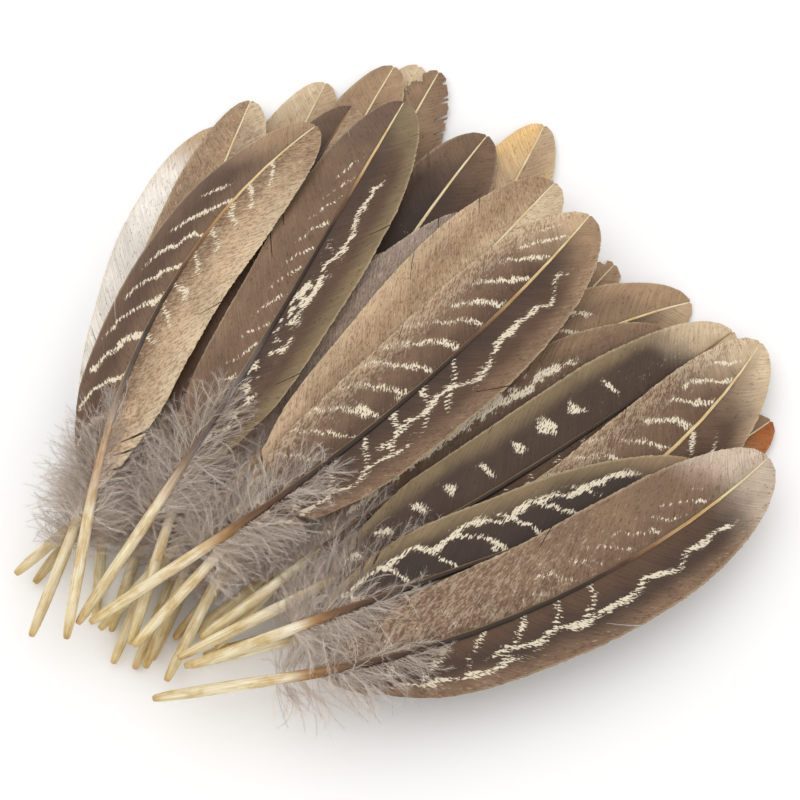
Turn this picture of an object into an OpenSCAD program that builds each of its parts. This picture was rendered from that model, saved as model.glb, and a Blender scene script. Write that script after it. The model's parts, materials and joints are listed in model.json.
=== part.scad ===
// Bunch of loose wing feathers, the goose-quill kind of pen before it is cut.
// Each feather is two sub-parts: the shaft (hollow quill end and solid rachis) and the vane it carries.
// Millimetres. Z up. The feathers are listed from the bottom of the heap to the top.

/* [Shaft] */
// Radius of the round quill barrel
quill_radius = 1.5; // [1.2:0.05:1.8]
// Wall of the hollow quill barrel
quill_wall = 0.4; // [0.3:0.05:0.6]
// Radius of the small hole at the quill's end
end_hole_radius = 0.4; // [0.3:0.05:0.6]
// Radius at the quill's rounded end
end_radius = 0.85; // [0.6:0.05:1.1]
// Radius of the rachis where the vane is fully formed
rachis_radius = 1.2; // [1:0.05:1.4]
// Radius of the rachis at the tip of the feather
tip_radius = 0.35; // [0.25:0.05:0.5]

/* [Vane] */
// Thickness of the vane
vane_thickness = 0.4; // [0.3:0.05:0.5]
// How far the edges of a vane curl down
camber = 2.5; // [1:0.25:3]
// Share of the length at which the widest part of the vane ends
shoulder = 0.62; // [0.5:0.01:0.75]
// Half width left at the two ends of a vane
end_width = 0.5; // [0.4:0.05:0.8]

/* [Model] */
// Sides on the round quill barrel
barrel_sides = 32; // [24:4:48]
// Move that puts the middle of the heap over the origin
centre = [-0.6, -9.75]; // [-20:0.05:20]

/* [Hidden] */
// Shares of the feather's length where each part begins
END_TAPER = 0.04;
BARREL_END = 0.20;
CURVE_START = 0.22;
VANE_START = 0.235;
FULL_VANE = 0.30;
DROOP_START = 0.60;

// One feather a row:
// [quill end x, y, heading, length, sideways curve in degrees, left web, right web,
//  height of the quill end, rise to the tip, bend down, droop of the tip, left web lift, right web lift]
FEATHERS = [
  [-62, -70, 70, 183,  -4, 12.0, 12.0,  1.5,  0.0,  1.0, 0.0,   8,   8],
  [-68, -61, 76, 163,  -8, 13.0, 12.0,  2.0,  0.5,  1.0, 1.0,   5,  14],
  [-72, -58, 89, 142, -24, 13.0, 12.0,  1.5,  2.0,  1.5, 1.5,   3,  14],
  [-58, -68, 69, 179,  -4, 12.0, 12.5,  2.0,  8.0,  8.0, 0.0,   7,  -5],
  [-53, -63, 52, 171,  14, 13.5, 12.0,  2.5,  1.0,  2.5, 0.0,  14,   5],
  [-46, -67, 16, 152,  20, 12.0, 11.5,  2.0,  0.0,  1.0, 0.0,   8,   8],
  [-51, -64, 40, 148,  10, 11.0, 11.0,  3.0,  1.0,  3.5, 0.0,  14,   4],
  [-67, -69, 71, 180,  -6, 13.0, 12.5,  2.5, 10.5, 10.5, 0.0,   1,  13],
  [-59, -71, 70, 152,  -8, 12.0, 12.0,  5.5,  9.0,  8.5, 0.0,  10,  -7],
  [-87, -49, 54, 145, -14, 12.0, 12.0,  2.0, 20.0, 13.0, 2.0,   8,  14],
  [-54, -74, 65, 168,  -6, 13.5, 13.5,  5.0, 19.5, 15.5, 4.5,  10, -14],
  [-91, -48, 41, 132,  -6, 12.0, 12.0,  5.5, 20.0, 11.0, 0.5,   8,   9],
  [-70, -62, 48, 141,   4, 13.0, 13.0,  6.5, 20.0,  7.5, 6.0,  13,   1],
  [-85, -65, 72, 159,   4, 12.5, 12.0, 10.5,  9.0, 16.0, 1.0, -14,  14],
  [-43, -66, 47, 151, -22, 13.5, 12.0,  5.0, 20.0, 16.0, 8.0,  14, -14],
  [-46, -65, 36, 138,  -2, 13.0, 12.0,  9.0, 16.5, 16.0, 2.0,  14, -14],
  [-62, -67, 75, 159,  -8, 12.5, 12.5, 11.0, 16.0, 16.0, 6.0,   1,  14],
  [-61, -68, 49, 162,   6, 14.5, 13.0, 12.5, 14.0, 11.5, 7.0,  14,  14],
  [-51, -70, 26, 162,  18, 14.5, 12.0, 10.0, 16.5, 16.0, 7.5,  14, -14],
  [-49, -73, 14, 170,  46, 15.0, 12.5, 13.5,  7.0,  7.5, 8.0,  14, -14],
  [-74, -63, 58, 164,  12, 14.0, 13.0, 13.5, 20.0, 16.0, 8.0,  -6,   5],
  [-47, -74, 20, 133,   2, 14.0, 12.5, 17.0,  6.0,  7.5, 3.0,  14, -14],
  [-76, -67, 84, 152, -40, 13.5, 14.0, 15.0,  5.0,  0.0, 4.0, -14,  14],
  [-71, -63, 33, 163,  24, 16.0, 14.0, 14.5, 20.0, 16.0, 5.5,   0,  -2],
  [-56, -80,  7, 161,  40, 15.5, 13.5, 11.5, 20.0, 13.5, 8.0,  14, -14],
];

// Stations along the vane, as shares of its length, finer where its outline is round
VANE_STATIONS = [0, 0.025, 0.06, 0.12, 0.22, 0.34, 0.46, 0.58, 0.69, 0.78, 0.86, 0.92, 0.965, 0.99, 1];
// Columns across one web, as shares of its width
COLUMNS = [1, 0.66, 0.33];
// Stations along the rachis, as shares of the feather's length
RACHIS_STATIONS = [0.19, 0.22, 0.25, 0.30, 0.37, 0.45, 0.53, 0.61, 0.69, 0.77, 0.84, 0.91, 0.96, 1];
RACHIS_SIDES = 8;

function two_digits(n) = n < 10 ? str("0", n) : str(n);
function shaft_name(i) = str("feather_", two_digits(i + 1), "_shaft");
function vane_name(i) = str("feather_", two_digits(i + 1), "_vane");

// Height of the shaft's centre line above the ground at u mm from the quill's end
function curve_share(t) = pow(max(0, (t - CURVE_START) / (1 - CURVE_START)), 2);
function droop_share(t) = pow(max(0, (t - DROOP_START) / (1 - DROOP_START)), 2);
function shaft_height(f, t) = f[7] + f[8] * t - f[9] * curve_share(t) - f[10] * droop_share(t);

// Plan position of a point v mm to the left of the shaft, t of the way along it:
// straight at first, then around an arc
function arc_radius(f) = f[3] * (1 - CURVE_START) / (f[4] * PI / 180);
function arc_angle(f, t) = f[4] * max(0, (t - CURVE_START) / (1 - CURVE_START));
function along(f, t, v) = t <= CURVE_START
  ? [t * f[3], v]
  : [CURVE_START * f[3] + (arc_radius(f) - v) * sin(arc_angle(f, t)),
     arc_radius(f) - (arc_radius(f) - v) * cos(arc_angle(f, t))];
function plan(f, t, v) =
  let (p = along(f, t, v))
  [f[0] + centre[0] + p[0] * cos(f[2]) - p[1] * sin(f[2]),
   f[1] + centre[1] + p[0] * sin(f[2]) + p[1] * cos(f[2])];
function place(f, t, v, z) = [each plan(f, t, v), z];

// Half width of a web at share s of the vane's length
function web(s, w) =
  let (base = pow(sin(90 * min(s / 0.3, 1)), 0.6))
  let (body = 0.8 + 0.2 * min(s / 0.55, 1))
  let (cap = sqrt(1 - pow(max(0, (s - shoulder) / (1 - shoulder)), 2)))
  max(end_width, w * base * body * cap);

// Height of the vane's middle surface, v mm to the left of the shaft
function lift(f, v) = abs(v) * tan(v > 0 ? f[11] : f[12]);
function curl(f, v) = camber * pow(v / (v > 0 ? f[5] : f[6]), 2);
function vane_height(f, t, v) = shaft_height(f, t) + lift(f, v) - curl(f, v);

function rachis_size(t) = t < FULL_VANE
  ? quill_radius - (quill_radius - rachis_radius) * (t - BARREL_END) / (FULL_VANE - BARREL_END)
  : rachis_radius + (tip_radius - rachis_radius) * (t - FULL_VANE) / (1 - FULL_VANE);
function ring_radius(t) = t < BARREL_END ? quill_radius - 0.05 : rachis_size(t);

// A closed skin over a row of rings that have the same number of points
module skin(rings) {
  n = len(rings[0]);
  last = len(rings) - 1;
  sides = [
    for (i = [0 : last - 1])
      for (j = [0 : n - 1])
        let (k = (j + 1) % n)
        each [[i * n + j, i * n + k, (i + 1) * n + k], [i * n + j, (i + 1) * n + k, (i + 1) * n + j]]
  ];
  start = [for (j = [1 : n - 2]) [0, j + 1, j]];
  end = [for (j = [1 : n - 2]) [last * n, last * n + j, last * n + j + 1]];
  polyhedron(points = [for (r = rings) each r], faces = concat(sides, start, end));
}

// Everything inside runs along +X from the quill's end
module on_quill_axis(f) {
  translate([f[0] + centre[0], f[1] + centre[1], f[7]])
    rotate([0, 0, f[2]])
      rotate([0, 90 - atan(f[8] / f[3]), 0])
        children();
}

module barrel(f) {
  slope = cos(atan(f[8] / f[3]));
  taper = END_TAPER * f[3] / slope;
  length = BARREL_END * f[3] / slope;
  on_quill_axis(f)
    difference() {
      union() {
        cylinder(h = taper, r1 = end_radius, r2 = quill_radius, $fn = barrel_sides);
        translate([0, 0, taper])
          cylinder(h = length - taper, r = quill_radius, $fn = barrel_sides);
      }
      translate([0, 0, taper])
        cylinder(h = length * 0.6, r = quill_radius - quill_wall, $fn = barrel_sides);
      translate([0, 0, -1])
        cylinder(h = taper + 2, r = end_hole_radius, $fn = barrel_sides);
    }
}

module rachis(f) {
  skin([
    for (t = RACHIS_STATIONS)
      [for (k = [0 : RACHIS_SIDES - 1])
        let (a = -(k + 0.5) * 360 / RACHIS_SIDES)
        place(f, t, ring_radius(t) * cos(a), shaft_height(f, t) + ring_radius(t) * sin(a))]
  ]);
}

module feather_shaft(f) {
  color("#d9c9a0")
    union() {
      barrel(f);
      rachis(f);
    }
}

module feather_vane(f) {
  offsets = function (s) [
    for (c = COLUMNS) c * web(s, f[5]),
    0,
    for (c = [len(COLUMNS) - 1 : -1 : 0]) -COLUMNS[c] * web(s, f[6])
  ];
  color("#8a7560")
    skin([
      for (s = VANE_STATIONS)
        let (t = VANE_START + s * (1 - VANE_START))
        let (row = offsets(s))
        [for (v = row) place(f, t, v, vane_height(f, t, v) + vane_thickness / 2),
         for (k = [len(row) - 1 : -1 : 0])
           place(f, t, row[k], vane_height(f, t, row[k]) - vane_thickness / 2)]
    ]);
}

for (i = [0 : len(FEATHERS) - 1]) {
  feather_shaft(FEATHERS[i]);
  feather_vane(FEATHERS[i]);
}
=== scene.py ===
# A bunch of loose, uncut wing quills from a pheasant, fanned out as they dropped on a table.
# Each feather is three pieces: the horn quill and rachis, the web of barbs, and the down at its base.
import json
import math
import bpy
import numpy as np
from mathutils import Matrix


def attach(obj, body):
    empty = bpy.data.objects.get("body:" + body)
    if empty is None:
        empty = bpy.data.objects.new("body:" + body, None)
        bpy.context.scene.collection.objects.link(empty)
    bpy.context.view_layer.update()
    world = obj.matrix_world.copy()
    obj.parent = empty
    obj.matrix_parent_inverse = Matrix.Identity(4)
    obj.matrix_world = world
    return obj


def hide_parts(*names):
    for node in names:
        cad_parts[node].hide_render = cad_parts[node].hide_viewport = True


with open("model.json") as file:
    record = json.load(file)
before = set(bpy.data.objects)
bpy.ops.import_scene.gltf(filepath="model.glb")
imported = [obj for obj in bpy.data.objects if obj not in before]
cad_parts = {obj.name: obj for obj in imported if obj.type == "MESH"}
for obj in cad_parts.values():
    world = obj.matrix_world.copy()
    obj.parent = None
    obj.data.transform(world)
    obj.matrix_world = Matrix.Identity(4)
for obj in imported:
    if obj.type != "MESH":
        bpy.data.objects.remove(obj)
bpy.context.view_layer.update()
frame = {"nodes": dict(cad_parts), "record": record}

MM = 0.001
VANE_START = 0.235  # share of the feather's length where its web begins
WEB_THICKNESS = 0.18 * MM
FLUTTER = 0.22 * MM  # how far the edge of a web waves up and down
RUFFLE = 0.10 * MM  # the same from one barb to the next
BARB_GAP = 0.42 * MM  # width of the strip that is cut out where a web has come apart
SPLIT_REACH = 7.0  # rows each side of a gap over which the barbs are bent back
FINE_WEB = (200, 20)  # rows along the shaft, one bundle of barbs to a row, and columns from shaft to edge
COARSE_WEB = (130, 13)  # the same for the feathers that lie under the others
UNDERNEATH = 12  # feathers up to this number
IN_PILE = 18  # feathers up to this number stay down when the others lift


# ---------- Colours ----------

def linear(value):
    """A colour picked as sRGB hex, turned to the linear values that a shader takes."""
    parts = [int(value[i:i + 2], 16) / 255 for i in (1, 3, 5)]
    return tuple(c / 12.92 if c <= 0.04045 else ((c + 0.055) / 1.055) ** 2.4 for c in parts) + (1.0,)


FEATHER_COLOURS = {
    "soot": "#3a291f", "umber": "#483427", "bistre": "#5a412f", "sepia": "#6a503c", "walnut": "#785e48",
    "drab": "#886d55", "fawn": "#987c5f", "tan": "#a98c6d", "buff": "#c6ab8a", "sand": "#d6c0a0",
    "cream": "#e6d5b8", "mist": "#cdbba8", "grey": "#998574", "lilac": "#9d8b80", "olive": "#857253",
    "amber": "#e6c084", "rust": "#b0662f", "bone": "#f7f1e8",
}
SHAFT_COLOURS = {
    "straw": "#efe8cc", "stain": "#c9ad7c", "milk": "#f5f0e0", "brown": "#65493a", "dark": "#33261f",
    "slate": "#6a6468", "ochre": "#b9966b", "gold": "#f0dcae", "pink": "#cdb8a6", "cream": "#f6ead0",
    "honey": "#e2d4a8",
}

DOWNY = "#a39283"  # the foot of a web, where barbs turn to down
RIM_LIT_THROUGH = "#dccaa8"  # the thin outer edge of a web, painted paler as light shining through it
MARK_CREAM = "#ece0c6"
RACHIS_UNDERSIDE = "#c9b394"
RACHIS_PAINTED_HIGHLIGHT = "#bfa27e"
AGED_HORN = "#bda473"

# Colour of the shaft along its length: a share of the length and a colour, in turn. All start with the
# same bare quill, dried and stained at its very end.
BARE_QUILL = [(0, "stain"), (0.008, "honey"), (0.03, "straw")]
SHAFTS = {
    "dark": [(0.19, "milk"), (0.215, "ochre"), (0.27, "brown"), (0.38, "dark"), (0.64, "dark"),
             (0.72, "brown"), (0.78, "ochre"), (0.86, "gold"), (1, "cream")],
    "slate": [(0.2, "milk"), (0.23, "pink"), (0.3, "slate"), (0.46, "slate"), (0.52, "dark"), (0.70, "dark"),
              (0.76, "brown"), (0.81, "ochre"), (0.88, "gold"), (1, "cream")],
    "pink": [(0.2, "milk"), (0.24, "pink"), (0.33, "pink"), (0.42, "slate"), (0.55, "dark"), (0.66, "brown"),
             (0.76, "ochre"), (0.84, "gold"), (1, "cream")],
    "black": [(0.2, "milk"), (0.24, "brown"), (0.33, "dark"), (0.78, "dark"), (0.88, "brown"), (1, "ochre")],
    "orange": [(0.2, "milk"), (0.24, "ochre"), (0.36, "brown"), (0.55, "brown"), (0.68, "ochre"),
               (0.8, "gold"), (1, "cream")],
    "pale": [(0.2, "milk"), (0.25, "pink"), (0.4, "ochre"), (0.6, "gold"), (1, "cream")],
}

# One feather a line: left web (colours beside the shaft, in the middle, at the edge and at the tip, then its
# marking), right web, and shaft. Left is as seen from above with the tip ahead.
LOOKS = {
    25: ("walnut drab drab mist stippled", "bistre umber drab mist looped", "dark"),
    24: ("bistre walnut tan buff barred_outward", "umber bistre drab tan looped", "dark"),
    23: ("walnut bistre sepia tan barred", "fawn buff sand tan pale_stippled", "pink"),
    22: ("soot soot olive fawn celled", "walnut drab fawn tan barred", "dark"),
    21: ("walnut walnut drab sepia flecked", "umber bistre olive olive frothed", "slate"),
    20: ("sepia walnut fawn sand barred_outward", "sepia bistre drab sand barred", "orange"),
    19: ("umber umber olive sand spotted", "bistre walnut tan sand flecked", "black"),
    18: ("buff tan buff tan fine_stippled", "sand cream cream sand fine_stippled", "pale"),
    17: ("umber bistre sepia sepia plain", "buff buff sand tan fine_stippled", "black"),
    16: ("bistre walnut fawn drab banded", "sepia walnut drab drab plain", "black"),
    15: ("fawn drab tan tan barred", "bistre walnut fawn buff barred", "orange"),
    14: ("tan fawn fawn tan fine_stippled", "drab walnut walnut sand fine_stippled", "pale"),
    13: ("lilac grey lilac lilac fine_stippled", "drab walnut buff buff fine_stippled", "pale"),
    12: ("buff sand sand sand fine_stippled", "walnut walnut drab drab fine_stippled", "orange"),
    11: ("soot umber drab walnut plain", "umber bistre drab walnut plain", "pale"),
    10: ("drab fawn tan tan fine_stippled", "drab fawn tan tan fine_stippled", "orange"),
    9: ("drab tan buff tan fine_stippled", "drab fawn tan tan plain", "orange"),
    8: ("tan fawn tan tan plain", "walnut walnut fawn tan plain", "pale"),
    7: ("drab drab sepia tan plain", "drab fawn fawn tan plain", "orange"),
    6: ("fawn fawn drab tan plain", "buff amber rust rust plain", "orange"),
    5: ("buff buff amber amber plain", "tan fawn amber buff plain", "pale"),
    4: ("drab walnut drab fawn plain", "tan fawn fawn drab plain", "orange"),
    3: ("bone bone bone buff plain", "sand tan fawn tan fine_stippled", "pale"),
    2: ("buff tan buff sand plain", "tan fawn tan buff plain", "pale"),
    1: ("sand sand sand sand plain", "sand sand sand sand plain", "pale"),
}
TORN = {4: 0.8, 7: 0.9}  # feathers with a torn tip, and how torn
SPLITS = {21: 3, 23: 2, 18: 2}  # gaps between barbs in each web; 1 on the rest


# ---------- Numbers ----------

def value_noise(x, y, seed):
    """Smooth noise from 0 to 1, with one soft blob to a unit."""
    table = np.random.default_rng(seed).random((61, 53))
    i, j = np.floor(x).astype(int), np.floor(y).astype(int)
    fx, fy = x - i, y - j
    fx, fy = fx * fx * (3 - 2 * fx), fy * fy * (3 - 2 * fy)

    def at(a, b):
        return table[a % 61, b % 53]
    return ((at(i, j) * (1 - fx) + at(i + 1, j) * fx) * (1 - fy)
            + (at(i, j + 1) * (1 - fx) + at(i + 1, j + 1) * fx) * fy)


def toward(colour, name, amount):
    """Moves colours toward the one with this sRGB hex."""
    return colour + (np.array(linear(name)[:3]) - colour) * amount


def ease(value, low, high):
    """0 below low, 1 above high, smooth between. Low may be the larger, and then it falls."""
    t = np.clip((value - low) / (high - low), 0, 1)
    return t * t * (3 - 2 * t)


def curve_through(xs, ys, x):
    """Points on a smooth curve through ys at xs."""
    ys = np.asarray(ys, float)
    slope = np.gradient(ys, xs, axis=0)
    k = np.clip(np.searchsorted(xs, x) - 1, 0, len(xs) - 2)
    h = xs[k + 1] - xs[k]
    t = (x - xs[k]) / h
    if ys.ndim > 1:
        h, t = h[..., None], t[..., None]
    return ((1 + 2 * t) * (1 - t) ** 2 * ys[k] + t * (1 - t) ** 2 * h * slope[k]
            + t * t * (3 - 2 * t) * ys[k + 1] - t * t * (1 - t) * h * slope[k + 1])


# ---------- The shape of a feather, read from its CAD solids ----------

VANE_STATIONS = np.array([0, 0.025, 0.06, 0.12, 0.22, 0.34, 0.46, 0.58, 0.69, 0.78, 0.86, 0.92, 0.965,
                          0.99, 1])  # rings of a CAD vane, as shares of its length
RING = 14  # corners across a CAD vane at one station, seven on top and seven below


def corners_and_edges(node):
    mesh = frame["nodes"][node].data
    co = np.empty(len(mesh.vertices) * 3)
    mesh.vertices.foreach_get("co", co)
    ends = np.empty(len(mesh.edges) * 2, int)
    mesh.edges.foreach_get("vertices", ends)
    keys, back = np.unique(np.round(co.reshape(-1, 3) * 1e6).astype(int), axis=0, return_inverse=True)
    return keys * 1e-6, back.reshape(-1)[ends].reshape(-1, 2)


class Feather:
    """Centre line, width and height of one feather, from the rings of its CAD vane."""

    def __init__(self, number):
        vane, edges = corners_and_edges(f"feather_{number:02d}_vane")
        shaft, _ = corners_and_edges(f"feather_{number:02d}_shaft")
        far = shaft[np.argmax(np.linalg.norm(shaft - vane.mean(0), axis=1))]
        ring = np.argsort(np.linalg.norm((vane - far)[:, :2], axis=1))[:RING]
        rings, seen = [], np.zeros(len(vane), bool)
        while len(ring):
            rings.append(vane[ring])
            seen[ring] = True
            inside = np.isin(edges, ring)
            beyond = np.unique(edges[inside.any(1)])
            ring = beyond[~seen[beyond]]
        axis = rings[0].mean(0) - far
        axis /= np.linalg.norm(axis)
        end = shaft[(shaft - far) @ axis < 0.1 * MM].mean(0)

        lines = []  # seven points across at each station, left to right, halfway through the thickness
        for k, ring in enumerate(rings):
            ahead = rings[min(k + 1, len(rings) - 1)].mean(0) - rings[max(k - 1, 0)].mean(0)
            left = np.array([-ahead[1], ahead[0]]) / np.hypot(*ahead[:2])
            order = np.argsort(-(ring[:, :2] @ left), kind="stable")
            lines.append(ring[order].reshape(7, 2, 3).mean(1))
        lines = np.array(lines)
        self.length = np.linalg.norm(np.diff(lines[:, 3, :2], axis=0), axis=1).sum()
        middle = lines[:, 3]
        self.ts = np.concatenate([[0, VANE_START / 2], VANE_START + VANE_STATIONS * (1 - VANE_START)])
        self.middle = np.vstack([end, (end + middle[0]) / 2, middle])
        self.full = self.length / (1 - VANE_START)
        wide = int(np.argmax(np.linalg.norm(lines[:, 0] - lines[:, 6], axis=1)))
        self.side = {}
        for sign, edge, inner in ((1, 0, 1), (-1, 6, 5)):
            widths = np.linalg.norm(lines[:, edge, :2] - middle[:, :2], axis=1)
            v = [np.linalg.norm(lines[wide, c, :2] - middle[wide, :2]) for c in (inner, edge)]
            rise = [(lines[wide, c, 2] - middle[wide, 2]) / d for c, d in zip((inner, edge), v)]
            bend = (rise[0] - rise[1]) / (v[1] - v[0])
            self.side[sign] = (widths, rise[0] + bend * v[0], bend)

    def centre(self, t):
        return curve_through(self.ts, self.middle, np.clip(t, 0, 1))

    def directions(self, t):
        """Unit vectors ahead, to the left and up from the centre line."""
        ahead = self.centre(np.clip(t + 0.01, 0, 1)) - self.centre(np.clip(t - 0.01, 0, 1))
        ahead /= np.linalg.norm(ahead, axis=-1, keepdims=True)
        left = np.stack([-ahead[..., 1], ahead[..., 0], 0 * ahead[..., 0]], -1)
        left /= np.linalg.norm(left, axis=-1, keepdims=True)
        return ahead, left, np.cross(ahead, left)

    def width(self, s, sign):
        inside = np.interp(s, VANE_STATIONS, self.side[sign][0])
        smooth = np.clip(curve_through(VANE_STATIONS, self.side[sign][0], np.clip(s, 0, 1)), 0, None)
        return np.where(s < 1, np.minimum(smooth, inside + 0.15 * MM), 0)

    def surface(self, s, v, lift):
        """The point on the web at share s of its length and v metres to the left."""
        t = VANE_START + np.clip(s, -0.05, 1) * (1 - VANE_START)
        _, left, _ = self.directions(t)
        point = self.centre(t) + left * v[..., None]
        size = np.abs(v)
        slope, bend = [np.where(v > 0, self.side[1][k], self.side[-1][k]) for k in (1, 2)]
        point[..., 2] += slope * size - bend * size ** 2 + lift
        return point


# ---------- Making and finishing a piece ----------

def grid(name, columns, rows):
    """A flat grid to be shaped, with the column and row number of each of its corners."""
    bpy.ops.object.select_all(action="DESELECT")
    bpy.ops.mesh.primitive_grid_add(x_subdivisions=columns, y_subdivisions=rows, size=1)
    piece = bpy.context.object
    piece.name = piece.data.name = name
    co = np.empty(len(piece.data.vertices) * 3)
    piece.data.vertices.foreach_get("co", co)
    co = co.reshape(-1, 3)
    column = np.rint((co[:, 0] + 0.5) * columns).astype(int)
    row = np.rint((co[:, 1] + 0.5) * rows).astype(int)
    return piece, column, row


def place(piece, points, uv_name, uv):
    """Moves the corners to their points and gives them a UV map."""
    mesh = piece.data
    mesh.vertices.foreach_set("co", np.ascontiguousarray(points, float).ravel())
    while mesh.uv_layers:
        mesh.uv_layers.remove(mesh.uv_layers[0])
    layer = mesh.uv_layers.new(name=uv_name)
    corner = np.empty(len(mesh.loops), int)
    mesh.loops.foreach_get("vertex_index", corner)
    layer.uv.foreach_set("vector", uv[corner].astype(np.float32).ravel())
    mesh.update()


def paint(piece, name, colour):
    """Stores a colour at each corner for the material to read."""
    values = np.ones((len(colour), 4), np.float32)
    values[:, :3] = colour[:, :3]
    piece.data.attributes.new(name, "FLOAT_COLOR", "POINT").data.foreach_set("color", values.ravel())


def edit(piece, *steps):
    """Runs edit-mode operators on all of the piece, or on the faces already selected."""
    bpy.ops.object.select_all(action="DESELECT")
    piece.select_set(True)
    bpy.context.view_layer.objects.active = piece
    bpy.ops.object.mode_set(mode="EDIT")
    for step in steps:
        step()
    bpy.ops.object.mode_set(mode="OBJECT")


def body_of(number):
    for body, nodes in frame["record"]["behaviour"]["bodies"].items():
        if f"feather_{number:02d}_vane" in nodes:
            return body


def finish(piece, number, material, angle=40):
    piece.data.materials.clear()
    piece.data.materials.append(material)
    bpy.ops.object.select_all(action="DESELECT")
    piece.select_set(True)
    bpy.context.view_layer.objects.active = piece
    bpy.ops.object.shade_smooth_by_angle(angle=math.radians(angle))
    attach(piece, body_of(number))


# ---------- Markings of a web ----------

class Web:
    """Where every corner of one web lies, in shares and millimetres, for its markings."""

    def __init__(self, s, x, length, width, seed):
        self.s, self.x, self.seed = s, x, seed
        self.along, self.across = s * length / MM, x * width / MM
        self.wide = width / MM

    def wave(self, size, offset=0):
        return value_noise(self.along / size, self.across / size, self.seed + offset) - 0.5

    def bars(self, spacing, half, start, stop, inner, outer, slope=-0.35, strength=1.0):
        """Wavy bars across the web, leaning back toward the quill as they leave the shaft."""
        lean = slope * (0.45 + self.s) * (0.6 + self.x)
        sway = 2.8 * self.wave(4.5, 1) + 1.9 * self.wave(1.7, 2)
        phase = (self.along - lean * self.across + sway) / spacing
        number = np.rint(phase)
        distance = np.abs(phase - number) * spacing
        vary = 0.75 + 0.5 * value_noise(number * 3.7, 0 * number, self.seed + 3)
        return (strength * vary * np.clip(1.25 - distance / half, 0, 1)
                * ease(self.s, start - 0.02, start + 0.02) * ease(self.s, stop + 0.03, stop - 0.03)
                * ease(self.x, inner - 0.04, inner + 0.04) * ease(self.x, outer + 0.12, outer - 0.05))

    def band(self, middle, half, start, stop, wander=2.2, strength=1.0):
        """A broken, wandering line along the web, its middle a share of the width."""
        sway = value_noise(self.along / 6, 0 * self.along, self.seed + 4) - 0.5
        line = middle * self.wide + wander * sway
        distance = np.abs(self.across - line + 1.6 * self.wave(2.2, 5))
        gaps = 0.55 + 0.9 * value_noise(self.along / 2.4, 0 * self.along, self.seed + 6)
        return (strength * gaps * np.clip(1.25 - distance / half, 0, 1)
                * ease(self.s, start - 0.02, start + 0.04) * ease(self.s, stop + 0.04, stop - 0.04))

    def spots(self, spacing, middle, half, start, stop):
        """A row of comma-shaped spots."""
        phase = (self.along + 0.3 * self.across + 3.2 * self.wave(3, 7)) / spacing
        off = (self.x - middle) * self.wide + 2.4 * self.wave(3.4, 13)
        distance = np.hypot((phase - np.rint(phase)) * spacing * 0.95, off * 0.55)
        return (np.clip(1.3 - distance / half, 0, 1)
                * ease(self.s, start - 0.02, start + 0.02) * ease(self.s, stop + 0.02, stop - 0.02))

    def froth(self, size, inner, outer, start, stop, amount=0.5):
        """Blots gathered beside the shaft."""
        blots = value_noise(self.along / size, self.across / (size * 0.7), self.seed + 8)
        return (np.clip((blots - (1 - amount)) * 4, 0, 1)
                * ease(self.x, inner - 0.05, inner + 0.05) * ease(self.x, outer + 0.1, outer - 0.1)
                * ease(self.s, start - 0.02, start + 0.02) * ease(self.s, stop + 0.06, stop - 0.06))


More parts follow.
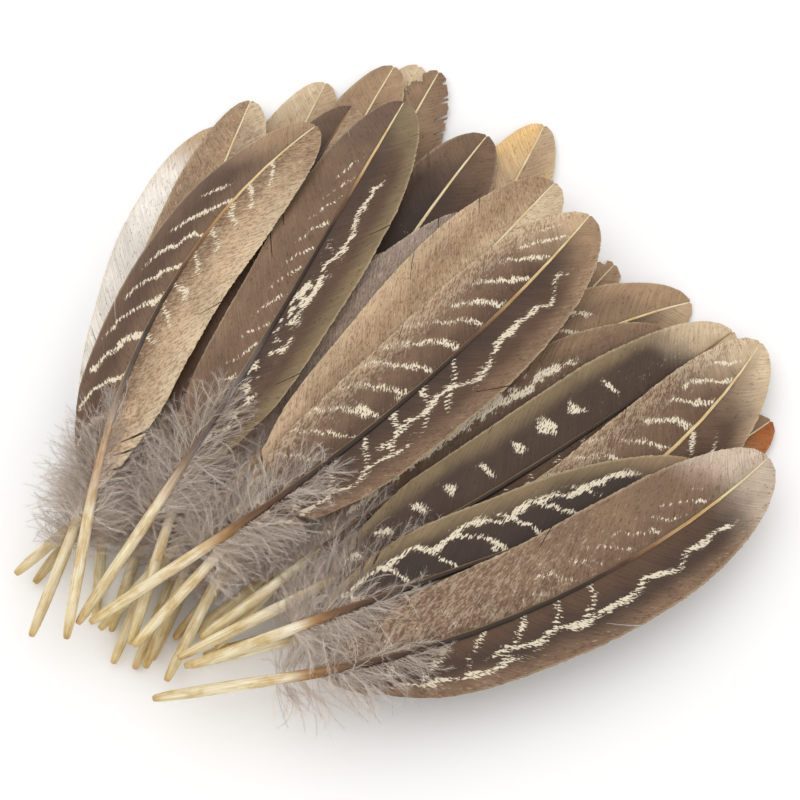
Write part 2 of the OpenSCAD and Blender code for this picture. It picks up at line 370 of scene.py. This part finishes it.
def marking(kind, web):
    """Strength of the cream marks, the dark stipple and the pale stipple over a web."""
    zero = np.zeros_like(web.s)
    x, s = web.x, web.s
    if kind == "stippled":
        marks = np.maximum(web.bars(8, 0.75, 0.42, 0.84, 0.1, 0.42, slope=-1.5, strength=0.62),
                           web.bars(8.5, 1.2, 0.02, 0.5, 0.1, 0.6, strength=0.3))
        return marks, 0.35 + 0.4 * ease(s, 0.6, 0.1), 0.5 * ease(s, 0.8, 0.3) + 0.1
    if kind == "barred":
        return web.bars(10.5, 1.15, 0.03, 0.76, 0.0, 0.95 - 0.45 * s, slope=-0.95), zero + 0.15, zero
    if kind == "barred_outward":
        marks = np.maximum(web.bars(8.8, 1.35, 0.0, 0.93, 0.04, 0.62, slope=-0.6, strength=0.76),
                           web.bars(8.8, 1.9, 0.0, 0.6, 0.3, 0.95, slope=-0.6, strength=0.54))
        return marks, 0.15 + 0.6 * ease(x, 0.4, 0.85), 0.1 + 0.6 * ease(x, 0.35, 0.8)
    if kind == "looped":
        marks = np.maximum(web.band(0.46, 0.7, 0.3, 0.84, 3.4, 0.92),
                           web.band(0.68, 0.7, 0.02, 0.36, 3.6, 0.85))
        marks = np.maximum(marks, web.bars(9.5, 0.75, 0.0, 0.55, 0.03, 0.6, slope=-0.95))
        return marks, 0.05 + 0.4 * ease(x, 0.6, 0.9), 0.3 * ease(x, 0.6, 0.9)
    if kind == "celled":
        marks = np.maximum(web.bars(11, 0.85, 0.02, 0.7, 0.0, 0.66, slope=-0.9),
                           web.band(0.6, 0.95, 0.05, 0.8, 3.6))
        return marks, zero + 0.05, 0.15 * ease(x, 0.75, 0.95)
    if kind == "frothed":
        marks = np.maximum(web.froth(1.8, 0.08, 0.5, 0.03, 0.56, 0.44), web.band(0.36, 0.65, 0.38, 0.76, 2.8))
        return marks, zero + 0.15, zero
    if kind == "flecked":
        return web.bars(8, 0.75, 0.2, 0.8, 0.06, 0.4, slope=-1.6, strength=0.72), zero + 0.25, zero + 0.08
    if kind == "spotted":
        return web.spots(9.5, 0.42, 1.45, 0.05, 0.72), zero + 0.1, 0.2 * ease(s, 0.5, 0.8)
    if kind == "banded":
        marks = np.maximum(web.band(0.42, 1.1, 0.1, 0.75, 1.5), web.froth(1.4, 0.3, 0.62, 0.05, 0.7, 0.45))
        return marks, zero + 0.3, zero + 0.15
    if kind == "pale_stippled":
        marks = web.bars(8.4, 1.1, 0.34, 0.88, 0.02, 0.4, slope=-0.85, strength=0.76)
        return marks, 0.62 + 0.2 * ease(x, 0.6, 0.1), zero + 0.4
    if kind == "fine_stippled":
        return web.bars(8, 0.5, 0.5, 0.85, 0.05, 0.22, strength=0.5), zero + 0.5, zero + 0.35
    return web.bars(9, 0.4, 0.3, 0.7, 0.1, 0.3, strength=0.35), zero + 0.2, zero


def web_colours(words, web):
    """Ground colour and markings of one web from its line in LOOKS."""
    *names, kind = words.split()
    near, mid, edge, tip = [np.array(linear(FEATHER_COLOURS[n])[:3]) for n in names]
    x, s = web.x[:, None], web.s[:, None]
    soft = 0.12 * web.wave(7, 9)[:, None]
    colour = near + (mid - near) * ease(x + soft, 0.08, 0.5)
    colour = colour + (edge - colour) * ease(x + soft, 0.55, 0.95)
    reach = s + 0.05 * x
    colour = colour + (tip - colour) * ease(reach + soft * 0.5, 0.8, 1.0)
    colour = colour * (1 + 0.2 * web.wave(11, 10)[:, None] + 0.2 * web.wave(3, 11)[:, None])
    colour = colour * (1 - 0.16 * ease(x, 0.09, 0.0))  # painted shade: the web darkened where it dips to the shaft
    downy = ease(s + 0.05 * web.wave(2, 12)[:, None], 0.13, 0.02)
    colour = toward(colour, DOWNY, 0.75 * downy)
    # painted light: the thin outer rim paled as if lit through its edge
    rim = ease(x, 0.955, 1.0) * ease(s, 0.1, 0.4)
    colour = toward(colour, RIM_LIT_THROUGH, 0.5 * rim)
    marks = np.stack(marking(kind, web), 1)
    return np.clip(colour, 0, 1), np.clip(marks, 0, 1)


# ---------- Pieces ----------

def barb_lengths(feather, root, sign, sweep, width):
    """How far across the web each barb reaches before it meets the outline."""
    low, high = np.zeros_like(root), np.full_like(root, width * 1.2)
    for _ in range(26):
        v = (low + high) / 2
        inside = feather.width(root + forward(v, width, sweep) / feather.length, sign) > v
        low, high = np.where(inside, v, low), np.where(inside, high, v)
    return np.maximum(low, 0.06 * MM)


def forward(v, width, sweep):
    """How far toward the tip a barb has run when it is v out: steep at the shaft, then along it."""
    x = v / width
    return sweep * width * (0.62 * x + 0.55 * x * x)


def make_web(number, feather, material):
    rng = np.random.default_rng(100 + number)
    rows, columns = COARSE_WEB if number <= UNDERNEATH else FINE_WEB
    piece, column, row = grid(f"feather_{number:02d}_web", 2 * columns, rows)
    reach = columns - column  # left is positive
    x = np.abs(reach) / columns
    root_of = np.linspace(-0.012, 0.996, rows + 1)
    points = np.zeros((len(row), 3))
    uv = np.zeros((len(row), 2))
    colour, marks = np.zeros((len(row), 3)), np.zeros((len(row), 3))
    gaps = []
    torn = TORN.get(number, 0)
    for sign, words in ((1, LOOKS[number][0]), (-1, LOOKS[number][1])):
        own = reach * sign >= 0
        width = feather.side[sign][0].max()
        sweep_of = 0.3 + 0.75 * ease(root_of, 0.0, 0.2) + 0.12 * root_of
        out_of = barb_lengths(feather, root_of, sign, sweep_of, width)
        ragged = 0.012 + 0.10 * ease(root_of, 0.16, 0.0) + 0.05 * ease(root_of, 0.8, 1.0) * torn * 4
        noise = value_noise(np.arange(rows + 1) / 1.3, np.zeros(rows + 1), number * 7 + sign)
        out_of = out_of * (1 - ragged * noise - 0.012 * rng.random(rows + 1))

        shift = np.zeros((rows + 1, columns + 1))
        share = np.linspace(0, 1, columns + 1)
        spots = list(rng.uniform(0.12, 0.86, SPLITS.get(number, 1))) + list(rng.uniform(0.01, 0.1, 3))
        spots += list(rng.uniform(0.8, 0.97, 6 if torn else 0))
        for spot in spots:
            at = int(np.argmin(np.abs(root_of - spot)))
            apex = rng.uniform(0.6, 0.88) if spot > 0.1 else rng.uniform(0.25, 0.6)
            wide = rng.uniform(0.1, 0.5) * MM * (1 + 2.5 * torn + 1.5 * (spot < 0.1))
            opened = np.clip((share - apex) / (1 - apex), 0, 1) ** 1.2 * wide - BARB_GAP * (share >= apex)
            for side_rows, way in ((np.arange(0, at + 1), -1), (np.arange(at + 1, rows + 1), 1)):
                near = np.exp(-np.abs(side_rows - at) / SPLIT_REACH)
                shift[side_rows] += way * near[:, None] * opened[None, :] * 0.5
            first = int(math.ceil(apex * columns))
            gaps += [(at, c, sign) for c in range(first, columns)]

        r = row[own]
        out = x[own] * out_of[r]
        s = root_of[r] + (forward(out, width, sweep_of[r])
                          + shift[r, np.abs(reach[own])]) / feather.length
        v = sign * np.maximum(out, 0)
        flutter = (FLUTTER * x[own] ** 2 * np.sin(s * feather.length / MM / 4.6 + number * 1.7 + sign)
                   + RUFFLE * x[own] * (noise[r] - 0.5))
        points[own] = feather.surface(s, v, flutter)
        # The map is in millimetres: along the shaft, and out along the barb
        uv[own, 0] = root_of[r] * feather.length / MM + 300 * number
        uv[own, 1] = sign * np.hypot(out, forward(out, width, sweep_of[r])) / MM + 80 * sign
        across = np.clip(out / np.maximum(feather.width(np.clip(s, 0, 0.99), sign), 0.4 * MM), 0, 1)
        web = Web(np.clip(s, 0, 1), across, feather.length, width, number * 20 + (sign > 0) * 10)
        colour[own], marks[own] = web_colours(words, web)
    place(piece, points, "barbs", uv)
    paint(piece, "ground", colour)
    paint(piece, "marks", marks)

    # Gaps between barbs, where a strip of the web has come apart
    cut = {(at, columns - c - 1 if sign > 0 else columns + c) for at, c, sign in gaps}
    mesh = piece.data
    for face in mesh.polygons:
        corners = list(face.vertices)
        face.select = (int(row[corners].min()), int(column[corners].min())) in cut
    for thing in list(mesh.vertices) + list(mesh.edges):
        thing.select = False
    bpy.context.tool_settings.mesh_select_mode = (False, False, True)
    edit(piece, lambda: bpy.ops.mesh.delete(type="FACE"))
    wall = piece.modifiers.new("web", "SOLIDIFY")
    wall.thickness, wall.offset = WEB_THICKNESS, 0
    bpy.ops.object.modifier_apply(modifier=wall.name)
    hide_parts(f"feather_{number:02d}_vane")
    finish(piece, number, material)


QUILL_SIDES = 20
# Shares of the length and radii in millimetres: in through the hole at the end, then out and along to the tip
QUILL_PROFILE = [
    (0.012, 0.0), (0.012, 0.22), (0.002, 0.27), (0.0, 0.35), (0.0, 0.55), (0.002, 0.76), (0.007, 0.92),
    (0.018, 1.1), (0.035, 1.26), (0.06, 1.34), (0.11, 1.37), (0.15, 1.37), (0.18, 1.36), (0.193, 1.34),
    (0.197, 1.31), (0.205, 1.29), (0.22, 1.26), (0.26, 1.12), (0.30, 1.0), (0.35, 0.92),
    (0.40, 0.86), (0.46, 0.8), (0.52, 0.74), (0.58, 0.68), (0.64, 0.62), (0.70, 0.56), (0.76, 0.5),
    (0.82, 0.43), (0.88, 0.36), (0.93, 0.3), (0.965, 0.25), (0.99, 0.2), (0.997, 0.12), (0.998, 0.0),
]


def make_quill(number, feather, material):
    rows = len(QUILL_PROFILE) - 1
    piece, column, row = grid(f"feather_{number:02d}_quill", QUILL_SIDES, rows)
    profile = np.array(QUILL_PROFILE)
    t, radius = profile[row, 0], profile[row, 1] * MM
    turn = 2 * math.pi * column / QUILL_SIDES
    ahead, left, up = feather.directions(np.clip(t, 0.005, 0.995))
    groove = 0.13 * np.exp(-((turn - math.pi / 2) / 0.38) ** 2) * ease(t, 0.22, 0.32)
    flat = 1 - 0.06 * np.abs(np.cos(turn)) * ease(t, 0.25, 0.35)
    on_barrel = ease(t, 0.02, 0.05) * ease(t, 0.22, 0.2)
    dent = 1 - 0.035 * (value_noise(turn * 1.6, t * 40, number + 500)) * on_barrel
    size = radius * (1 - groove) * flat * dent
    points = (feather.centre(t) + left * (size * np.cos(turn))[:, None] + up * (size * np.sin(turn))[:, None])
    uv = np.stack([t * feather.full / MM + 40 * number, column / QUILL_SIDES], 1)  # mm, share of the turn
    place(piece, points, "shaft", uv)

    stops = BARE_QUILL + SHAFTS[LOOKS[number][2]]
    where = np.array([a for a, _ in stops])
    colours = np.array([linear(SHAFT_COLOURS[c])[:3] for _, c in stops])
    uneven = t + 0.012 * (value_noise(turn * 1.3, 0 * turn, number + 40) - 0.5) * ease(t, 0.1, 0.2)
    tone = np.stack([np.interp(uneven, where, colours[:, k]) for k in range(3)], 1)
    underside = ease(np.sin(turn), -0.1, -0.8)[:, None] * ease(t, 0.25, 0.4)[:, None]
    tone = toward(tone, RACHIS_UNDERSIDE, 0.5 * underside)
    # painted highlight: a paler strip down the left side of the rachis
    painted_highlight = ease(np.cos(turn), 0.25, 0.75)[:, None] * ease(t, 0.24, 0.3)[:, None] * ease(t, 0.8, 0.6)[:, None]
    tone = toward(tone, RACHIS_PAINTED_HIGHLIGHT, 0.55 * painted_highlight)
    rng = np.random.default_rng(number)
    aged = rng.random() * (0.5 if number <= UNDERNEATH else 0.25) * ease(t, 0.24, 0.16)[:, None]
    tone = tone * (0.97 + 0.08 * rng.random())
    tone = toward(tone, AGED_HORN, aged)
    paint(piece, "tone", tone)
    bpy.context.tool_settings.mesh_select_mode = (True, False, False)
    edit(piece, lambda: bpy.ops.mesh.select_all(action="SELECT"),
         lambda: bpy.ops.mesh.remove_doubles(threshold=1e-7),
         lambda: bpy.ops.mesh.normals_make_consistent(inside=False))
    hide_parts(f"feather_{number:02d}_shaft")
    finish(piece, number, material, 60)


def hairs(paths, thick, thin):
    """Corners and faces of tapered three-sided hairs along paths, each closed at both ends."""
    count, knots, _ = paths.shape
    ahead = np.gradient(paths, axis=1)
    ahead /= np.maximum(np.linalg.norm(ahead, axis=2, keepdims=True), 1e-12)
    side = np.cross(ahead, [0.3, 0.2, 1.0])
    side /= np.maximum(np.linalg.norm(side, axis=2, keepdims=True), 1e-12)
    over = np.cross(side, ahead)
    radius = np.linspace(thick, thin, knots)[None, :, None, None]
    turn = np.arange(3) * 2 * math.pi / 3
    ring = (side[:, :, None] * np.cos(turn)[None, None, :, None]
            + over[:, :, None] * np.sin(turn)[None, None, :, None])
    corners = (paths[:, :, None] + ring * radius).reshape(-1, 3)
    one = []
    for k in range(knots - 1):
        for j in range(3):
            a, b = k * 3 + j, k * 3 + (j + 1) % 3
            one += [(a, a + 3, b + 3), (a, b + 3, b)]
    one += [(0, 1, 2), (knots * 3 - 1, knots * 3 - 2, knots * 3 - 3)]
    one = np.array(one)
    faces = (one[None] + (np.arange(count) * knots * 3)[:, None, None]).reshape(-1, 3)
    return corners, faces


DOWN_SPINE, DOWN_HAIR = 0.045 * MM, 0.032 * MM  # radii at the root
DOWN_BARBS = 150  # downy barbs on each side of the shaft
BARBULES = 30  # finer hairs along each of them


def spikes(base, tip, thick):
    """Corners and faces of fine hairs, each a three-sided spike."""
    ahead = tip - base
    side = np.cross(ahead, [0.3, 0.2, 1.0])
    side /= np.maximum(np.linalg.norm(side, axis=1, keepdims=True), 1e-12)
    over = np.cross(side, ahead)
    over /= np.maximum(np.linalg.norm(over, axis=1, keepdims=True), 1e-12)
    turn = np.arange(3) * 2 * math.pi / 3
    ring = base[:, None] + thick * (side[:, None] * np.cos(turn)[None, :, None]
                                    + over[:, None] * np.sin(turn)[None, :, None])
    corners = np.concatenate([ring, tip[:, None]], 1).reshape(-1, 3)
    one = np.array([(0, 3, 1), (1, 3, 2), (2, 3, 0), (0, 1, 2)])
    return corners, (one[None] + (np.arange(len(base)) * 4)[:, None, None]).reshape(-1, 3)


def make_down(number, feather, materials):
    """Loose downy barbs between the bare quill and the web. Real ones are 0.01 mm fine: these are as coarse
    as they need to be to show."""
    rng = np.random.default_rng(900 + number)
    count = 2 * DOWN_BARBS
    sign = np.where(np.arange(count) % 2, 1, -1)
    place_on = rng.beta(1.1, 1.5, count)
    low = 0.14 if number <= IN_PILE else 0.175
    t = low + (0.40 - low) * place_on
    ahead, left, up = feather.directions(t)
    lean = np.radians(rng.normal(90 if number <= IN_PILE else 80, 24, count) - 54 * place_on)
    length = (rng.uniform(7.5, 15, count) * MM * (0.75 + 0.25 * ease(place_on, 0, 0.25))
              * ease(place_on, 1.6, 0.4))
    start = (feather.centre(t) + left * (sign * 0.9 * MM)[:, None]
             + up * (rng.uniform(-0.6, 0.7, count) * MM)[:, None])
    out = left * sign[:, None]
    curl = rng.normal(0, 0.8, count)
    tuft = value_noise(place_on * 9, sign * 3.0 + 10, number) - 0.5  # neighbours lean together in tufts
    rise = rng.normal(0.12, 0.13, count) + 0.25 * tuft
    steps = 6
    path = np.zeros((count, steps, 3))
    path[:, 0] = start
    for k in range(1, steps):
        f = k / (steps - 1)
        angle = lean + 0.5 * tuft - 0.45 * f + curl * f * f * 0.9
        way = (ahead * np.cos(angle)[:, None] + out * np.sin(angle)[:, None]
               + up * (rise * (1.2 - 2.0 * f) + 0.07 * rng.normal(size=count))[:, None])
        way /= np.linalg.norm(way, axis=1, keepdims=True)
        path[:, k] = path[:, k - 1] + way * (length / (steps - 1))[:, None]
    path[:, :, 2] = np.maximum(path[:, :, 2], (0.15 + 0.25 * rng.random((count, steps))) * MM)
    spine, spine_faces = hairs(path, DOWN_SPINE, 0.02 * MM)

    f = np.linspace(0.06, 0.99, BARBULES) * (steps - 1)
    k = np.minimum(f.astype(int), steps - 2)
    base = path[:, k] + (path[:, k + 1] - path[:, k]) * (f - k)[None, :, None]
    way = path[:, k + 1] - path[:, k]
    way /= np.linalg.norm(way, axis=2, keepdims=True)
    across = np.cross(way, up[:, None])
    across /= np.maximum(np.linalg.norm(across, axis=2, keepdims=True), 1e-9)
    flip = np.where(np.arange(BARBULES) % 2, 1, -1)[None, :, None]
    turn = way * 1.6 + across * flip * 0.6 + rng.normal(0, 0.3, (count, BARBULES, 3))
    turn /= np.linalg.norm(turn, axis=2, keepdims=True)
    shorter = (1.0 - 0.4 * np.linspace(0, 1, BARBULES))[None, :, None]  # toward the barb's tip
    size = rng.uniform(1.5, 3.1, (count, BARBULES, 1)) * MM * shorter
    tip = base + turn * size
    tip[:, :, 2] = np.maximum(tip[:, :, 2], 0.1 * MM)
    hair, hair_faces = spikes(base.reshape(-1, 3), tip.reshape(-1, 3), DOWN_HAIR)

    mesh = bpy.data.meshes.new(f"feather_{number:02d}_down")
    faces = np.vstack([spine_faces, hair_faces + len(spine)])
    mesh.from_pydata(np.vstack([spine, hair]).tolist(), [], faces.tolist())
    shade = rng.choice(len(materials), count, p=[0.32, 0.40, 0.28])
    per_spine = len(spine_faces) // count
    index = np.concatenate([np.repeat(shade, per_spine), np.repeat(shade, 4 * BARBULES)])
    piece = bpy.data.objects.new(mesh.name, mesh)
    bpy.context.scene.collection.objects.link(piece)
    for each in materials:
        mesh.materials.append(each)
    mesh.polygons.foreach_set("material_index", index.astype(np.int32))
    mesh.update()
    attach(piece, body_of(number))


# ---------- Materials ----------

def add_node(tree, kind, settings=None, **inputs):
    """Adds a node, sets its properties and inputs, and links any input given as a socket."""
    node = tree.nodes.new(kind)
    for key, value in (settings or {}).items():
        setattr(node, key, value)
    for key, value in inputs.items():
        key = int(key[1:]) if key[0] == "n" and key[1:].isdigit() else key.replace("_", " ")
        if isinstance(value, bpy.types.NodeSocket):
            tree.links.new(value, node.inputs[key])
        else:
            node.inputs[key].default_value = value
    return node


def new_material(name):
    material = bpy.data.materials.new(name)
    material.use_nodes = True
    tree = material.node_tree
    tree.nodes.clear()
    surface = add_node(tree, "ShaderNodeBsdfPrincipled")
    output = add_node(tree, "ShaderNodeOutputMaterial")
    tree.links.new(surface.outputs["BSDF"], output.inputs["Surface"])
    return material, tree, surface


def flat_noise(tree, where, scale, detail, roughness):
    """Noise over a UV map, with scale spots to a unit of the map each way."""
    scaled = add_node(tree, "ShaderNodeMapping", Vector=where, Scale=scale).outputs["Vector"]
    return add_node(tree, "ShaderNodeTexNoise", {"noise_dimensions": "2D"}, Vector=scaled,
                    Scale=1.0, Detail=detail, Roughness=roughness).outputs["Fac"]


def mix(tree, factor, a, b, way="MIX"):
    return add_node(tree, "ShaderNodeMix", {"data_type": "RGBA", "blend_type": way},
                    n0=factor, n6=a, n7=b).outputs[2]


def barb_material():
    """Feather keratin in fine parallel barbs: matt with a faint sheen, streaked along the barbs, the marks
    broken up barb by barb. Barbs are about 0.45 mm apart here, a little coarser than real, so they show."""
    material, tree, surface = new_material("pheasant feather barbs")
    where = add_node(tree, "ShaderNodeUVMap", {"uv_map": "barbs"}).outputs["UV"]
    ground = add_node(tree, "ShaderNodeAttribute", {"attribute_name": "ground"}).outputs["Color"]
    painted = add_node(tree, "ShaderNodeAttribute", {"attribute_name": "marks"}).outputs["Color"]
    marks = add_node(tree, "ShaderNodeSeparateColor", Color=painted)

    def grain(along, out, detail):
        return flat_noise(tree, where, (along, out, 1), detail, 0.55)

    def above(value, low, high):
        return add_node(tree, "ShaderNodeMapRange",
                        Value=value, From_Min=low, From_Max=high).outputs["Result"]

    def sum_of(a, b, scale):
        return add_node(tree, "ShaderNodeMath", {"operation": "MULTIPLY_ADD"},
                        n0=a, n1=scale, n2=b).outputs["Value"]

    def times(a, b):
        return add_node(tree, "ShaderNodeMath", {"operation": "MULTIPLY"}, n0=a, n1=b).outputs["Value"]

    barbs = grain(2.2, 0.10, 1.0)  # one barb to the next, 0.45 mm
    froth = grain(1.9, 1.1, 2.5)  # the ragged rim of a mark, barb by barb
    clumps = grain(0.36, 0.3, 2.0)  # stipple gathers in patches, 3 mm
    specks = grain(1.25, 0.85, 1.5)  # stipple, 0.8 mm
    dust = grain(2.9, 1.9, 1.0)  # finest stipple, 0.35 mm

    # Cream marks
    rough_edge = sum_of(froth, marks.outputs["Red"], 2.9)
    rough_edge = sum_of(barbs, rough_edge, 0.9)
    mark = above(rough_edge, 2.36, 2.54)
    # Stipple
    dark = sum_of(marks.outputs["Green"], sum_of(dust, specks, 0.6), 0.3)
    dark = above(sum_of(clumps, dark, 0.55), 1.27, 1.45)
    pale = sum_of(marks.outputs["Blue"], sum_of(specks, sum_of(froth, 0.9, -0.9), -0.6), 0.6)
    pale = above(sum_of(clumps, pale, -0.7), 0.14, 0.32)
    pale = times(pale, above(marks.outputs["Blue"], 0.02, 0.1))

    # painted shade: the ground darkened in the grooves between barbs
    painted_shade_between_barbs = mix(tree, 1.0, ground, linear("#e4dfda"), "MULTIPLY")
    colour = mix(tree, above(barbs, 0.3, 0.7), painted_shade_between_barbs, ground)
    cream = linear(MARK_CREAM)
    colour = mix(tree, times(pale, 0.2), colour, cream)
    colour = mix(tree, times(dark, 0.6), colour, mix(tree, 1.0, colour, linear("#a08c7a"), "MULTIPLY"))
    strength = add_node(tree, "ShaderNodeMapRange", Value=marks.outputs["Red"], From_Min=0.05, From_Max=0.5,
                        To_Min=0.0, To_Max=0.86).outputs["Result"]
    colour = mix(tree, times(mark, strength), colour, cream)
    tree.links.new(colour, surface.inputs["Base Color"])
    surface.inputs["Roughness"].default_value = 0.58
    surface.inputs["IOR"].default_value = 1.54
    surface.inputs["Specular IOR Level"].default_value = 0.35
    surface.inputs["Sheen Weight"].default_value = 0.12
    surface.inputs["Sheen Roughness"].default_value = 0.4
    bump = add_node(tree, "ShaderNodeBump", Height=barbs, Strength=0.35, Distance=0.00012)
    tree.links.new(bump.outputs["Normal"], surface.inputs["Normal"])
    return material


def horn_material():
    """Feather horn, bare keratin: smooth and waxy, straw at the quill and stained along the rachis, with
    faint lengthwise fibres about 0.3 mm wide and stains about 7 mm long."""
    material, tree, surface = new_material("quill horn")
    tone = add_node(tree, "ShaderNodeAttribute", {"attribute_name": "tone"}).outputs["Color"]
    where = add_node(tree, "ShaderNodeUVMap", {"uv_map": "shaft"}).outputs["UV"]
    fibres = flat_noise(tree, where, (0.12, 22, 1), 2.0, 0.6)
    stains = flat_noise(tree, where, (0.14, 2.5, 1), 3.0, 0.6)
    fibre = add_node(tree, "ShaderNodeMapRange", Value=fibres, From_Min=0.3, From_Max=0.72).outputs["Result"]
    stain = add_node(tree, "ShaderNodeMapRange", Value=stains, From_Min=0.45, From_Max=0.72).outputs["Result"]
    tone = mix(tree, fibre, tone, linear("#e6d8b8"), "MULTIPLY")
    tone = mix(tree, stain, tone, linear("#dfcca4"), "MULTIPLY")
    tree.links.new(tone, surface.inputs["Base Color"])
    surface.inputs["Roughness"].default_value = 0.32
    surface.inputs["IOR"].default_value = 1.54
    surface.inputs["Specular IOR Level"].default_value = 0.28
    surface.inputs["Subsurface Weight"].default_value = 0.25
    surface.inputs["Subsurface Radius"].default_value = (1.0, 0.7, 0.4)
    surface.inputs["Subsurface Scale"].default_value = 0.0012
    bump = add_node(tree, "ShaderNodeBump", Height=fibres, Strength=0.25, Distance=0.00008)
    tree.links.new(bump.outputs["Normal"], surface.inputs["Normal"])
    return material


def down_material(name, colour):
    """Feather down, loose barbs that scatter light: fully matt and soft, each barb in one tint."""
    material, tree, surface = new_material(name)
    surface.inputs["Base Color"].default_value = linear(colour)
    surface.inputs["IOR"].default_value = 1.54
    surface.inputs["Specular IOR Level"].default_value = 0.2
    surface.inputs["Sheen Weight"].default_value = 0.25
    surface.inputs["Sheen Roughness"].default_value = 0.5
    where = add_node(tree, "ShaderNodeTexCoord").outputs["Object"]
    fuzz = add_node(tree, "ShaderNodeTexNoise", Vector=where, Scale=1400.0, Detail=1.0)  # about 0.7 mm
    rough = add_node(tree, "ShaderNodeMapRange", Value=fuzz.outputs["Fac"], To_Min=0.7, To_Max=0.95)
    tree.links.new(rough.outputs["Result"], surface.inputs["Roughness"])
    return material


# ---------- The bunch ----------

barbs = barb_material()
horn = horn_material()
down = [down_material("taupe feather down", "#ae9d90"), down_material("grey feather down", "#c3b3a6"),
        down_material("pale feather down", "#dacfc3")]
for number in sorted(LOOKS):
    feather = Feather(number)
    make_web(number, feather, barbs)
    make_quill(number, feather, horn)
    make_down(number, feather, down)

# ---------- Table, light and camera ----------

bpy.ops.mesh.primitive_plane_add(size=6, location=(0, 0, -0.0002))
table = bpy.context.object
table.name = "table"
paper, _, paper_surface = new_material("plain pale table")
paper_surface.inputs["Base Color"].default_value = linear("#fafafa")
paper_surface.inputs["Roughness"].default_value = 0.9
table.data.materials.append(paper)


def soft_light(name, place, size, energy):
    data = bpy.data.lights.new(name, "AREA")
    data.shape, data.size, data.energy = "DISK", size, energy
    light = bpy.data.objects.new(name, data)
    light.location = place
    x, y, z = place
    light.rotation_euler = (math.atan2(math.hypot(x, y), z), 0, math.atan2(y, x) + math.pi / 2)
    bpy.context.scene.collection.objects.link(light)


soft_light("window", (-0.3, 0.24, 0.85), 1.3, 2.5)
soft_light("fill", (0.5, -0.3, 0.9), 1.2, 1.0)
world = bpy.data.worlds.new("studio")
world.use_nodes = True
world.node_tree.nodes["Background"].inputs["Color"].default_value = linear("#fffdfb")
world.node_tree.nodes["Background"].inputs["Strength"].default_value = 0.9
bpy.context.scene.world = world
bpy.context.scene.view_settings.view_transform = "Standard"

camera_data = bpy.data.cameras.new("camera")
camera_data.lens, camera_data.sensor_width, camera_data.clip_start = 85, 36, 0.01
camera = bpy.data.objects.new("camera", camera_data)
elevation, distance = math.radians(65), 0.4722
aim = (-0.0006, -0.00975, 0.0)
camera.location = (aim[0], aim[1] - distance * math.cos(elevation), distance * math.sin(elevation))
camera.rotation_euler = (math.pi / 2 - elevation, 0, 0)
bpy.context.scene.collection.objects.link(camera)
bpy.context.scene.camera = camera
